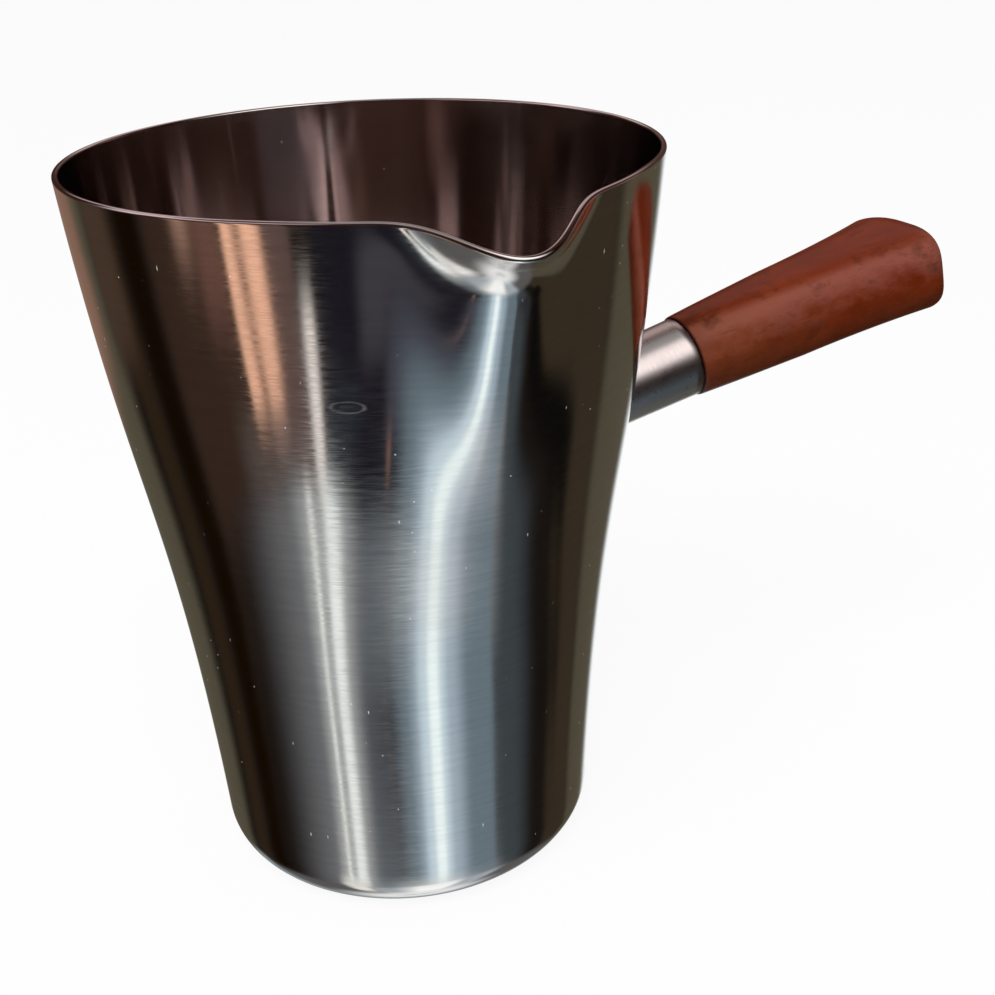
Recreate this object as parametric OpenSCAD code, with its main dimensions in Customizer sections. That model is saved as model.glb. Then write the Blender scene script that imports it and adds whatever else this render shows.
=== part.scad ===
// Cream jug: a spun steel cup with a pressed pouring lip, and a wooden side handle on a steel socket.
// The cup stands on z = 0 with its axis on Z. The lip points near -Y and the handle along +X.

/* [Cup] */
// Height of the rim above the table
cup_height = 105; // [90:1:130]
// Outside diameter of the rim, away from the lip
rim_diameter = 80; // [72:1:92]
// Outside diameter of the wall where its line would reach the table
foot_diameter = 57; // [48:1:64]
// Height at which the wall flares most
flare_height = 60; // [50:1:70]
// Lean of the wall above the base, in degrees from upright
foot_lean = 3.1; // [1:0.1:6]
// Lean of the wall at the rim, in degrees from upright
rim_lean = 4.7; // [2:0.1:8]
// Outside radius of the bend between the base and the wall
foot_radius = 5.3; // [3:0.1:8]
// Thickness of the steel sheet
sheet = 0.8; // [0.6:0.1:1.2]

/* [Pouring lip] */
// How far the shoulders beside the lip swell out at the rim
swell_out = 2.6; // [1.5:0.1:3.5]
// Depth below the rim at which the swell runs out into the wall
swell_depth = 69; // [50:1:75]
// Angle from the tip to the end of the swell, in degrees
swell_angle = 43; // [36:1:44]
// How far the keel under the lip stands out past the swell
keel_out = 2.6; // [1.5:0.1:4]
// Depth below the rim at which the keel runs out into the wall
keel_depth = 42; // [36:1:52]
// Angle from the tip to the foot of the keel at the rim, in degrees
keel_angle = 23.5; // [20:0.5:30]
// How far the turned-out lip stands out past the keel
lip_out = 3.4; // [2:0.1:4.5]
// Depth below the rim at which the lip starts to turn out
lip_depth = 8.5; // [6:0.5:12]
// Angle from the tip to the end of the turned-out lip, in degrees
lip_angle = 28; // [21:0.5:31]
// How far the tip of the lip dips below the rim
lip_drop = 4.1; // [2:0.1:5]
// Angle from the tip to the ends of the dip, in degrees
drop_angle = 23.5; // [18:0.5:30]

/* [Handle socket] */
// Height at which the handle's axis meets the cup's wall
socket_height = 63.3; // [50:0.1:72]
// Upward tilt of the handle, in degrees
handle_tilt = 12.7; // [4:0.1:20]
// Length of the socket from the cup's wall to the grip
socket_length = 16; // [13:0.5:24]
// Outside diameter of the socket at the cup
socket_root_d = 12.1; // [11:0.1:14]
// Outside diameter of the socket at the grip
socket_end_d = 12.7; // [11:0.1:14]
// Wall thickness of the socket
socket_wall = 1; // [0.8:0.1:1.5]
// Leg length of the braze fillet round the socket's foot
braze_leg = 0.9; // [0.5:0.1:1.5]

/* [Stud] */
// Thickness of the plate that closes the socket's outer end
plate_thickness = 1.6; // [1:0.1:3]
// Outside diameter of the stud's thread
stud_d = 5; // [4:0.1:6]
// How far the stud's plain shank stands out past its thread
shank_step = 0.25; // [0.15:0.05:0.5]
// Depth of the stud's thread
thread_depth = 0.6; // [0.3:0.05:0.8]
// Pitch of the stud's thread
thread_pitch = 2; // [1.6:0.1:3]
// Length of the stud's thread in the grip
stud_length = 22; // [14:1:30]
// Diameter of the stud's head behind the plate
stud_head_d = 8; // [7:0.1:9]
// Thickness of the stud's head
stud_head_h = 2; // [1.5:0.1:3]

/* [Grip] */
// Length of the grip
grip_length = 45.4; // [38:0.1:60]
// Diameter of the grip at the socket
grip_root_d = 13.2; // [13:0.1:16]
// Width of the grip at its flared end
grip_end_width = 21.4; // [16:0.1:28]
// Height of the grip at its flared end
grip_end_height = 13.2; // [12:0.1:18]
// How far the end of the grip bulges outward
grip_end_dome = 3.9; // [1:0.1:5]
// Radius of the eased edge where the grip meets the socket
grip_edge = 0.6; // [0.3:0.1:1]
// Clearance round the stud, and past its tip, in the grip's bore
bore_clearance = 0.05; // [0.02:0.01:0.2]

/* [Hidden] */
$fn = 96;

// How far a cut runs past the faces that it goes through
cut_margin = 1;

// Cup profile: a straight base, a foot bend and a wall drawn as one cubic curve.
// Both inner control points lie at the flare height, on the lines that the foot and the rim lean along.
foot_steps = 6;
wall_steps = 30;
row_crowding = 1.9;
rim_radius = rim_diameter / 2;
bend_radius = foot_diameter / 2 + foot_radius * tan(foot_lean) - foot_radius / cos(foot_lean);
bend_end = [bend_radius + foot_radius * cos(foot_lean), foot_radius * (1 - sin(foot_lean))];
wall_control = [
    bend_end,
    [foot_diameter / 2 + flare_height * tan(foot_lean), flare_height],
    [rim_radius - (cup_height - flare_height) * tan(rim_lean), flare_height],
    [rim_radius, cup_height]
];

function curve(p, t) =
    pow(1 - t, 3) * p[0] + 3 * pow(1 - t, 2) * t * p[1] + 3 * (1 - t) * t * t * p[2] + pow(t, 3) * p[3];
function curve_direction(p, t) =
    pow(1 - t, 2) * (p[1] - p[0]) + 2 * (1 - t) * t * (p[2] - p[1]) + t * t * (p[3] - p[2]);
function unit(v) = v / norm(v);
function outward(d) = unit([d[1], -d[0]]);

// Rows of the profile from the edge of the flat base up to the rim: [outside point, outward normal].
// Rows crowd towards the rim, where the lip needs them.
foot_rows = [
    for (i = [0 : foot_steps - 1])
        let (a = -90 + (90 - foot_lean) * i / foot_steps, n = [cos(a), sin(a)])
            [[bend_radius, foot_radius] + foot_radius * n, n]
];
wall_rows = [
    for (i = [0 : wall_steps])
        let (t = 1 - pow(1 - i / wall_steps, row_crowding))
            [curve(wall_control, t), outward(curve_direction(wall_control, t))]
];
rows = concat(foot_rows, wall_rows);
outside = [for (row = rows) row[0]];
inside = [for (row = rows) row[0] - sheet * row[1]];
wall_table = [for (row = wall_rows) [row[0][1], row[0][0]]];
function wall_radius(z) = lookup(z, wall_table);

// Pouring lip: the wall is pushed out and down, less and less with depth and with angle from the tip.
// The keel narrows with depth.
keel_narrowing = 0.4;
drop_depth = 17;
// Bearing of the lip's tip from the handle, in degrees
lip_bearing = -88.6;
function hump(angle, reach) = abs(angle) >= reach ? 0 : 0.5 + 0.5 * cos(180 * angle / reach);
function fade(depth, reach) = depth >= reach ? 0 : 1 - depth / reach;
function keel_reach(depth) = keel_angle * (1 - keel_narrowing * min(1, depth / keel_depth));
function lip_push(angle, depth) =
    swell_out * hump(depth, swell_depth) * hump(angle, swell_angle)
    + keel_out * hump(depth, keel_depth) * pow(hump(angle, keel_reach(depth)), 2)
    + lip_out * pow(fade(depth, lip_depth), 2.5) * pow(hump(angle, lip_angle), 2);
function lip_dip(angle, depth) =
    lip_drop * pow(fade(depth, drop_depth), 1.5) * pow(hump(angle, drop_angle), 2);
function turned(p, angle) =
    [p[0] * cos(sector_angle + angle), p[0] * sin(sector_angle + angle), p[1]];
function lip_outside(p, angle) =
    let (depth = cup_height - p[1])
        turned([p[0] + lip_push(angle, depth), p[1] - lip_dip(angle, depth)], angle);

// The inside of the lip lies one sheet thickness behind the outside, along the pushed surface's normal.
probe = 0.01;
function lip_normal(i, angle) =
    let (
        p = outside[i],
        along = [p[0], p[1]] + probe * [-rows[i][1][1], rows[i][1][0]],
        back = [p[0], p[1]] - probe * [-rows[i][1][1], rows[i][1][0]],
        up = lip_outside(along, angle) - lip_outside(back, angle),
        across = lip_outside(p, angle + probe) - lip_outside(p, angle - probe)
    )
        unit(cross(across, up));
function lip_inside(i, angle) =
    lip_push(angle, cup_height - outside[i][1]) == 0
        ? turned(inside[i], angle)
        : lip_outside(outside[i], angle) - sheet * lip_normal(i, angle);

// The sector that holds the lip: columns are 2 degrees apart at the lip and 3 degrees beside it.
// It is drawn from +X to +Y, so that its ends meet the plain sector's ends exactly, and then turned.
sector_angle = 45;
fine_columns = 26;
coarse_columns = 6;
sector_columns = [
    for (i = [0 : coarse_columns - 1]) -sector_angle + i * (sector_angle - lip_angle) / coarse_columns,
    for (i = [0 : fine_columns]) -lip_angle + i * 2 * lip_angle / fine_columns,
    for (i = [1 : coarse_columns]) lip_angle + i * (sector_angle - lip_angle) / coarse_columns
];

module lip_sector() {
    n_rows = len(rows);
    n_columns = len(sector_columns);
    points = concat(
        [[0, 0, 0], [0, 0, sheet]],
        [for (a = sector_columns) each concat(
            [for (i = [0 : n_rows - 1]) lip_outside(outside[i], a)],
            [for (i = [0 : n_rows - 1]) lip_inside(i, a)]
        )]
    );
    function outer(i, j) = 2 + 2 * n_rows * j + i;
    function inner(i, j) = outer(i, j) + n_rows;
    function quad(a, b, c, d) = [[a, b, c], [a, c, d]];
    skins = [
        for (j = [0 : n_columns - 2], i = [0 : n_rows - 2]) each concat(
            quad(outer(i, j), outer(i + 1, j), outer(i + 1, j + 1), outer(i, j + 1)),
            quad(inner(i, j), inner(i, j + 1), inner(i + 1, j + 1), inner(i + 1, j))
        )
    ];
    top = n_rows - 1;
    rim_and_base = [
        for (j = [0 : n_columns - 2]) each concat(
            quad(outer(top, j), inner(top, j), inner(top, j + 1), outer(top, j + 1)),
            [[0, outer(0, j), outer(0, j + 1)], [1, inner(0, j + 1), inner(0, j)]]
        )
    ];
    last = n_columns - 1;
    ends = concat(
        [for (i = [0 : n_rows - 2]) each concat(
            quad(outer(i, 0), inner(i, 0), inner(i + 1, 0), outer(i + 1, 0)),
            quad(outer(i, last), outer(i + 1, last), inner(i + 1, last), inner(i, last))
        )],
        quad(0, 1, inner(0, 0), outer(0, 0)),
        quad(0, outer(0, last), inner(0, last), 1)
    );
    polyhedron(points, concat(skins, rim_and_base, ends));
}

module plain_sector() {
    rotate([0, 0, 2 * sector_angle])
        rotate_extrude(angle = 360 - 2 * sector_angle)
            polygon(concat(
                [[0, 0]],
                outside,
                [for (i = [len(inside) - 1 : -1 : 0]) inside[i]],
                [[0, sheet]]
            ));
}

module cup_solid() {
    rotate_extrude() polygon(concat([[0, 0]], outside, [[0, cup_height]]));
}

module jug_body() {
    color("silver") rotate([0, 0, lip_bearing - sector_angle]) union() {
        plain_sector();
        lip_sector();
    }
}

// Handle: everything below is placed along the handle's axis, measured from where it meets the cup's wall.
// In this frame +Z runs out along the handle, Y is sideways and -X is up.
handle_foot = [wall_radius(socket_height), 0, socket_height];
socket_taper = (socket_end_d - socket_root_d) / 2 / socket_length;
socket_bore_d = min(socket_root_d, socket_end_d) - 2 * socket_wall;
socket_sunk = socket_root_d;
shank_d = stud_d + 2 * shank_step;
plate_inner = socket_length - plate_thickness;

module along_handle(s) {
    translate(handle_foot) rotate([0, 90 - handle_tilt, 0]) translate([0, 0, s]) children();
}
function socket_radius(s) = socket_root_d / 2 + socket_taper * s;

module handle_socket() {
    color("lightgray") difference() {
        along_handle(-socket_sunk)
            cylinder(
                h = socket_length + socket_sunk,
                r1 = socket_radius(-socket_sunk),
                r2 = socket_radius(socket_length)
            );
        along_handle(-socket_sunk - cut_margin)
            cylinder(h = socket_length + socket_sunk + 2 * cut_margin, d = socket_bore_d);
        cup_solid();
    }
}

module socket_end_plate() {
    color("darkgray") along_handle(plate_inner) difference() {
        cylinder(h = plate_thickness, d = socket_bore_d);
        translate([0, 0, -cut_margin]) cylinder(h = plate_thickness + 2 * cut_margin, d = shank_d);
    }
}

// A closed skin over rings that all have the same number of points.
module loft(rings) {
    n = len(rings[0]);
    last = len(rings) - 1;
    sides = [
        for (i = [0 : last - 1], k = [0 : n - 1])
            let (a = i * n + k, b = i * n + (k + 1) % n)
                each [[a, a + n, b + n], [a, b + n, b]]
    ];
    first_cap = [[for (k = [0 : n - 1]) k]];
    last_cap = [[for (k = [n - 1 : -1 : 0]) last * n + k]];
    polyhedron([for (ring = rings) each ring], concat(sides, first_cap, last_cap));
}

// The stud's thread is a round core that winds about the axis in a helix, half a thread depth off centre.
thread_sides = 12;
steps_a_turn = 8;
thread_steps = round(steps_a_turn * stud_length / thread_pitch);
thread_sunk = plate_thickness / 2;
thread_rings = [
    for (i = [0 : thread_steps])
        let (
            s = (stud_length + thread_sunk) * i / thread_steps,
            turn = 360 * s / thread_pitch,
            middle = thread_depth / 2 * [cos(turn), sin(turn)]
        )
            [
                for (k = [0 : thread_sides - 1])
                    let (p = middle + (stud_d - thread_depth) / 2
                        * [cos(360 * k / thread_sides), sin(360 * k / thread_sides)])
                        [p[0], p[1], s]
            ]
];

module handle_stud() {
    color("gray") along_handle(plate_inner) union() {
        translate([0, 0, -stud_head_h]) cylinder(h = stud_head_h, d = stud_head_d);
        cylinder(h = plate_thickness, d = shank_d);
        translate([0, 0, plate_thickness - thread_sunk]) loft(thread_rings);
    }
}

// Grip: rings from the round seat on the socket to a wide, soft-cornered end with a shallow dome.
grip_sides = 40;
grip_steps = 18;
dome_steps = 6;
dome_stop = 80;
edge_steps = 3;
flare_power = 2.7;
round_squareness = 2;
end_squareness = 3.6;
square_by = 0.45;
dome_thinning = 0.17;
grip_straight = grip_length - grip_end_dome;
function signed_pow(x, e) = sign(x) * pow(abs(x), e);
function grip_ring(s, half_width, half_height, squareness) = [
    for (k = [0 : grip_sides - 1])
        let (a = 360 * k / grip_sides)
            [
                half_height * signed_pow(cos(a), round_squareness / squareness),
                half_width * signed_pow(sin(a), round_squareness / squareness),
                s
            ]
];
function grip_station(s) =
    let (k = s / grip_straight, r = grip_root_d / 2)
        [
            r + (grip_end_width / 2 - r) * pow(k, flare_power),
            r + (grip_end_height / 2 - r) * k,
            round_squareness + (end_squareness - round_squareness) * min(1, k / square_by)
        ];
edge_rings = [
    for (i = [0 : edge_steps - 1])
        let (
            a = 90 * i / edge_steps,
            s = grip_edge * (1 - cos(a)),
            cut = grip_edge * (1 - sin(a)),
            g = grip_station(s)
        )
            grip_ring(s, g[0] - cut, g[1] - cut, g[2])
];
body_rings = [
    for (i = [0 : grip_steps])
        let (s = grip_edge + (grip_straight - grip_edge) * i / grip_steps, g = grip_station(s))
            grip_ring(s, g[0], g[1], g[2])
];
dome_rings = [
    for (i = [1 : dome_steps])
        let (a = dome_stop * i / dome_steps, g = grip_station(grip_straight))
            grip_ring(
                grip_straight + grip_end_dome * sin(a) / sin(dome_stop),
                g[0] * sqrt(cos(a)),
                g[1] * (1 - dome_thinning * (1 - cos(a))),
                g[2]
            )
];

module grip() {
    color("sienna") along_handle(socket_length) difference() {
        loft(concat(edge_rings, body_rings, dome_rings));
        translate([0, 0, -cut_margin])
            cylinder(h = stud_length + bore_clearance + cut_margin, r = stud_d / 2 + bore_clearance);
    }
}

// Braze fillet: a bead swept round the curve where the socket's outside meets the cup's wall.
braze_steps = 48;
braze_clearance = 0.02;
meeting_tries = 24;
slope_step = 1;
axis_out = [cos(handle_tilt), 0, sin(handle_tilt)];
axis_side = [0, 1, 0];
axis_up = [-sin(handle_tilt), 0, cos(handle_tilt)];
function on_socket(a, s, extra) =
    handle_foot + s * axis_out + (socket_radius(s) + extra) * (cos(a) * axis_side + sin(a) * axis_up);
function outside_cup(p) = norm([p[0], p[1]]) - wall_radius(p[2]);
function meeting(a, low, high, tries) =
    let (middle = (low + high) / 2)
        tries == 0
            ? middle
            : outside_cup(on_socket(a, middle, 0)) > 0
                ? meeting(a, low, middle, tries - 1)
                : meeting(a, middle, high, tries - 1);
function cup_normal(p) =
    let (
        rise = wall_radius(p[2] + slope_step) - wall_radius(p[2] - slope_step),
        slope = rise / (2 * slope_step),
        r = norm([p[0], p[1]])
    )
        unit([p[0] / r, p[1] / r, -slope]);
braze_rings = [
    for (i = [0 : braze_steps - 1])
        let (
            a = 360 * i / braze_steps,
            s = meeting(a, -socket_sunk, socket_length, meeting_tries),
            root = on_socket(a, s, braze_clearance),
            n = cup_normal(root),
            away = cos(a) * axis_side + sin(a) * axis_up,
            over_cup = unit(away - (away * n) * n),
            corner = root + braze_clearance * n,
            on_cup = corner + braze_leg * over_cup,
            up_socket = on_socket(a, s + braze_leg, braze_clearance),
            hollow = corner + 0.3 * (on_cup - corner) + 0.3 * (up_socket - corner)
        )
            [corner, on_cup, hollow, up_socket]
];

module socket_braze() {
    n = len(braze_rings[0]);
    count = braze_steps * n;
    faces = [
        for (i = [0 : braze_steps - 1], k = [0 : n - 1])
            let (
                a = i * n + k,
                b = i * n + (k + 1) % n,
                c = (a + n) % count,
                d = (b + n) % count
            )
                each [[a, b, d], [a, d, c]]
    ];
    color("gainsboro") polyhedron([for (ring = braze_rings) each ring], faces);
}

jug_body();
handle_socket();
socket_braze();
socket_end_plate();
handle_stud();
grip();
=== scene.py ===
"""Cream jug: a brushed steel cup with a pressed pouring lip, and a wooden side handle on a steel socket.

Every piece is in the CAD frame, in metres: +Z up, the handle along +X, the pouring lip along -Y.
"""

import math

import bpy
import numpy as np
from mathutils import Matrix, Vector


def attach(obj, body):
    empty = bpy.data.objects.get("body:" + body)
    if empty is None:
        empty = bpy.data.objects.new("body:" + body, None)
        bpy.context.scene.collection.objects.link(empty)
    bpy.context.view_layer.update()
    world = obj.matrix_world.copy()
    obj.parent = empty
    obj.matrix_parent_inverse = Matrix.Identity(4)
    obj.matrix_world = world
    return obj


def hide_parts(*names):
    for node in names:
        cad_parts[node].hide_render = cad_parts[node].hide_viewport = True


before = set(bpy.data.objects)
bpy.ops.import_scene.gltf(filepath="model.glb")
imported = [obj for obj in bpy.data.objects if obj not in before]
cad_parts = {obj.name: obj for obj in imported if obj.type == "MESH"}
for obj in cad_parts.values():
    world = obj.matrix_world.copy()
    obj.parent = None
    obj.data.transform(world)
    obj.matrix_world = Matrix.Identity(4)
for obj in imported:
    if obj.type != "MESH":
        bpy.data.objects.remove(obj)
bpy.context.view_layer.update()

MM = 0.001

# Cup, as in the CAD model
CUP_HEIGHT = 105 * MM
RIM_RADIUS = 40 * MM
FOOT_RADIUS = 28.5 * MM
FLARE_HEIGHT = 60 * MM
FOOT_LEAN = math.radians(3.1)
RIM_LEAN = math.radians(4.7)
FOOT_BEND = 5.3 * MM
SHEET = 0.8 * MM

# Pouring lip, as in the CAD model
SWELL_OUT = 2.6 * MM
SWELL_DEPTH = 69 * MM
SWELL_ANGLE = math.radians(43)
KEEL_OUT = 2.6 * MM
KEEL_DEPTH = 42 * MM
KEEL_ANGLE = math.radians(23.5)
KEEL_NARROWING = 0.4
LIP_OUT = 3.4 * MM
LIP_DEPTH = 8.5 * MM
LIP_ANGLE = math.radians(28)
LIP_SHARPNESS = 2.5
LIP_DROP = 4.1 * MM
DROP_DEPTH = 17 * MM
DROP_ANGLE = math.radians(23.5)
DROP_SHARPNESS = 1.5
LIP_BEARING = math.radians(-88.6)

# Handle, as in the CAD model
SOCKET_HEIGHT = 63.3 * MM
HANDLE_TILT = math.radians(12.7)
SOCKET_LENGTH = 16 * MM
SOCKET_ROOT_RADIUS = 6.05 * MM
SOCKET_END_RADIUS = 6.35 * MM
SOCKET_BORE_RADIUS = 5.05 * MM
BRAZE_LEG = 0.9 * MM
GRIP_LENGTH = 45.4 * MM
GRIP_ROOT_RADIUS = 6.6 * MM
GRIP_END_HALF_WIDTH = 10.7 * MM
GRIP_END_HALF_HEIGHT = 6.6 * MM
GRIP_END_DOME = 3.9 * MM
GRIP_EDGE = 0.6 * MM
GRIP_FLARE_POWER = 2.7
GRIP_DOME_THINNING = 0.17
ROUND_SQUARENESS = 2
GRIP_SQUARENESS = 3.6
GRIP_SQUARE_BY = 0.45

# Finer than the CAD model: eased edges, and the socket's mesh
RIM_ROUNDING = 0.3 * MM
SOCKET_CHAMFER = 0.15 * MM
SOCKET_SIDES = 128

# Camera, at the photograph's viewpoint
CAMERA_PLACE = (-61.3 * MM, -176 * MM, 140.2 * MM)
CAMERA_HEADING = math.radians(65.83)
CAMERA_PITCH = math.radians(25.13)
CAMERA_ROLL = math.radians(2.03)
CAMERA_LENS = 49.94
SENSOR_WIDTH = 36
CAMERA_CLIP = 10 * MM


# Mesh helpers


def make_piece(name, points, faces, materials, face_material=None):
    """A smooth-shaded mesh object, linked into the scene."""
    mesh = bpy.data.meshes.new(name)
    mesh.from_pydata([tuple(p) for p in points], [], faces)
    mesh.polygons.foreach_set("use_smooth", [True] * len(mesh.polygons))
    for material in materials:
        mesh.materials.append(material)
    if face_material is not None:
        mesh.polygons.foreach_set("material_index", face_material)
    mesh.update()
    piece = bpy.data.objects.new(name, mesh)
    bpy.context.scene.collection.objects.link(piece)
    return piece


def ring_faces(first, second, count):
    """Quads between two closed rings of points that start at these indices."""
    faces = []
    for k in range(count):
        n = (k + 1) % count
        faces.append((first + k, first + n, second + n, second + k))
    return faces


def fan_faces(centre, ring, count, flip=False):
    """Triangles from one point to a closed ring."""
    faces = []
    for k in range(count):
        n = (k + 1) % count
        faces.append((centre, ring + n, ring + k) if flip else (centre, ring + k, ring + n))
    return faces


def unit(v):
    """Vectors of length 1, in the same directions."""
    return v / np.linalg.norm(v, axis=-1, keepdims=True)


# Cup surface


def hump(value, reach):
    """1 in the middle, easing to 0 at the reach on both sides."""
    return np.where(np.abs(value) < reach, 0.5 + 0.5 * np.cos(math.pi * value / reach), 0)


def peak(value, reach):
    """A hump with a narrower top."""
    return hump(value, reach) ** 2


def fade(depth, reach):
    """1 at the rim, falling evenly to 0 at the reach."""
    return np.clip(1 - depth / reach, 0, None)


# The foot's bend touches the base and the wall, and the wall is one curve from the bend to the rim
BEND_RADIUS = FOOT_RADIUS + FOOT_BEND * math.tan(FOOT_LEAN) - FOOT_BEND / math.cos(FOOT_LEAN)
WALL_CONTROL = np.array([
    [BEND_RADIUS + FOOT_BEND * math.cos(FOOT_LEAN), FOOT_BEND * (1 - math.sin(FOOT_LEAN))],
    [FOOT_RADIUS + FLARE_HEIGHT * math.tan(FOOT_LEAN), FLARE_HEIGHT],
    [RIM_RADIUS - (CUP_HEIGHT - FLARE_HEIGHT) * math.tan(RIM_LEAN), FLARE_HEIGHT],
    [RIM_RADIUS, CUP_HEIGHT],
])


def wall_profile(t):
    """Radius and height of the plain wall's outside, for t from 0 at the foot to 1 at the rim."""
    weights = np.stack([(1 - t) ** 3, 3 * (1 - t) ** 2 * t, 3 * (1 - t) * t**2, t**3], -1)
    return weights @ WALL_CONTROL


def wall_point(t, angle):
    """A point of the wall's outside, pushed out and down at the lip. Angle is from the lip's direction."""
    profile = wall_profile(t)
    depth = CUP_HEIGHT - profile[..., 1]
    keel_reach = KEEL_ANGLE * (1 - KEEL_NARROWING * np.clip(depth / KEEL_DEPTH, 0, 1))
    push = (
        SWELL_OUT * hump(depth, SWELL_DEPTH) * hump(angle, SWELL_ANGLE)
        + KEEL_OUT * hump(depth, KEEL_DEPTH) * peak(angle, keel_reach)
        + LIP_OUT * fade(depth, LIP_DEPTH) ** LIP_SHARPNESS * peak(angle, LIP_ANGLE)
    )
    dip = LIP_DROP * fade(depth, DROP_DEPTH) ** DROP_SHARPNESS * peak(angle, DROP_ANGLE)
    radius = profile[..., 0] + push
    turn = LIP_BEARING + angle
    return np.stack([radius * np.cos(turn), radius * np.sin(turn), profile[..., 1] - dip], -1)


def wall_normal(t, angle, step=1e-4):
    """Outward normal and upward tangent of the pushed wall, by small differences."""
    up = wall_point(t + step, angle) - wall_point(t - step, angle)
    across = wall_point(t, angle + step) - wall_point(t, angle - step)
    return unit(np.cross(across, up)), unit(up)


WALL_TABLE = wall_profile(np.linspace(0, 1, 400))


def wall_radius(height):
    """Radius of the plain wall's outside at a height."""
    return np.interp(height, WALL_TABLE[:, 1], WALL_TABLE[:, 0])


def cup_columns():
    """Angles round the cup, from the lip: twice as close at the lip as elsewhere."""
    lip_half = math.radians(54)
    lip_columns, rest_columns = 145, 169
    lip = np.linspace(-lip_half, lip_half, lip_columns)
    rest = np.linspace(lip_half, 2 * math.pi - lip_half, rest_columns)[1:-1]
    return np.concatenate([lip, rest])


def turned_ring(radius, height, columns):
    """A level circle of points, one for each column."""
    turn = LIP_BEARING + columns
    return np.stack([radius * np.cos(turn), radius * np.sin(turn), np.full_like(turn, height)], -1)


def cup_rings():
    """Closed rings from the middle of the base, up the outside, over the rim and down the inside."""
    columns = cup_columns()
    rim_steps, wall_steps, foot_steps = 8, 110, 12
    crowding = 1.5
    base_shares = (0.15, 0.4, 0.7, 0.95)
    foot_angles = np.radians(np.linspace(-90, -math.degrees(FOOT_LEAN), foot_steps))
    outside = [turned_ring(BEND_RADIUS * s, 0, columns) for s in base_shares]
    inside = [turned_ring(BEND_RADIUS * s, SHEET, columns) for s in base_shares]
    for a in foot_angles[:-1]:
        n = np.array([math.cos(a), math.sin(a)])
        out = np.array([BEND_RADIUS, FOOT_BEND]) + FOOT_BEND * n
        back = out - SHEET * n
        outside.append(turned_ring(out[0], out[1], columns))
        inside.append(turned_ring(back[0], back[1], columns))
    # The wall's curve climbs this much for each unit of t at the rim, and its rings crowd there
    climb = 3 * (CUP_HEIGHT - FLARE_HEIGHT)
    top = 1 - RIM_ROUNDING / climb
    for t in top * (1 - (1 - np.linspace(0, 1, wall_steps)) ** crowding):
        t = np.full_like(columns, t)
        point = wall_point(t, columns)
        normal, _ = wall_normal(t, columns)
        outside.append(point)
        inside.append(point - SHEET * normal)
    normal, up = wall_normal(np.full_like(columns, top), columns)
    middle = (outside[-1] + inside[-1]) / 2
    rim = []
    for a in np.linspace(0, math.pi, rim_steps + 2)[1:-1]:
        rim.append(middle + SHEET / 2 * math.cos(a) * normal + RIM_ROUNDING * math.sin(a) * up)
    return outside, rim, inside


def make_cup(outside_material, inside_material):
    """The cup as one closed skin, with its own material inside."""
    outside, rim, inside = cup_rings()
    rings = outside + rim + inside[::-1]
    count = len(rings[0])
    points = np.concatenate(rings)
    faces = []
    for i in range(len(rings) - 1):
        faces += ring_faces(i * count, (i + 1) * count, count)
    last = (len(rings) - 1) * count
    below, above = len(points), len(points) + 1
    points = np.concatenate([points, [[0, 0, 0], [0, 0, SHEET]]])
    inner_from = (len(outside) + len(rim)) * count
    face_material = [int(f[0] >= inner_from) for f in faces]
    faces += fan_faces(below, 0, count, flip=True) + fan_faces(above, last, count)
    face_material += [0] * count + [1] * count
    return make_piece("cup", points, faces, [outside_material, inside_material], face_material)


# Handle surfaces, in the handle's own frame: +Z runs out along the handle, Y is sideways and -X is up

HANDLE_FOOT = Vector((float(wall_radius(SOCKET_HEIGHT)), 0, SOCKET_HEIGHT))
HANDLE_FRAME = Matrix.Translation(HANDLE_FOOT) @ Matrix.Rotation(math.pi / 2 - HANDLE_TILT, 4, "Y")


def to_cup_frame(points):
    """Points given in the handle's frame, in the cup's frame."""
    matrix = np.array(HANDLE_FRAME)
    return points @ matrix[:3, :3].T + matrix[:3, 3]


def around(radius, angle, along):
    """Points round the handle's axis."""
    return np.stack([radius * np.cos(angle), radius * np.sin(angle), along], -1)


def socket_radius(along):
    """The socket's outside radius, which widens outwards."""
    return SOCKET_ROOT_RADIUS + (SOCKET_END_RADIUS - SOCKET_ROOT_RADIUS) * along / SOCKET_LENGTH


def meeting(radius_of, angle):
    """How far along the handle a tube's side meets the cup's wall, found by halving."""
    low = np.full_like(angle, -2 * SOCKET_ROOT_RADIUS)
    high = np.full_like(angle, SOCKET_LENGTH)
    tries = 40
    for _ in range(tries):
        middle = (low + high) / 2
        p = to_cup_frame(around(radius_of(middle), angle, middle))
        beyond = np.hypot(p[:, 0], p[:, 1]) > wall_radius(p[:, 2])
        high = np.where(beyond, middle, high)
        low = np.where(beyond, low, middle)
    return (low + high) / 2


def closed_tube(rings):
    """Points and faces of a solid ring: each ring joins the next, and the last joins the first."""
    count = len(rings[0])
    faces = []
    for i in range(len(rings)):
        faces += ring_faces(i * count, (i + 1) % len(rings) * count, count)
    return np.concatenate(rings), faces


def capped_loft(rings, first_centre, last_centre):
    """Points and faces of a solid skin over rings, with a fan at each end."""
    count = len(rings[0])
    points = np.concatenate(rings + [[first_centre, last_centre]])
    faces = []
    for i in range(len(rings) - 1):
        faces += ring_faces(i * count, (i + 1) * count, count)
    faces += fan_faces(len(points) - 2, 0, count, flip=True)
    faces += fan_faces(len(points) - 1, (len(rings) - 1) * count, count)
    return points, faces


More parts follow.
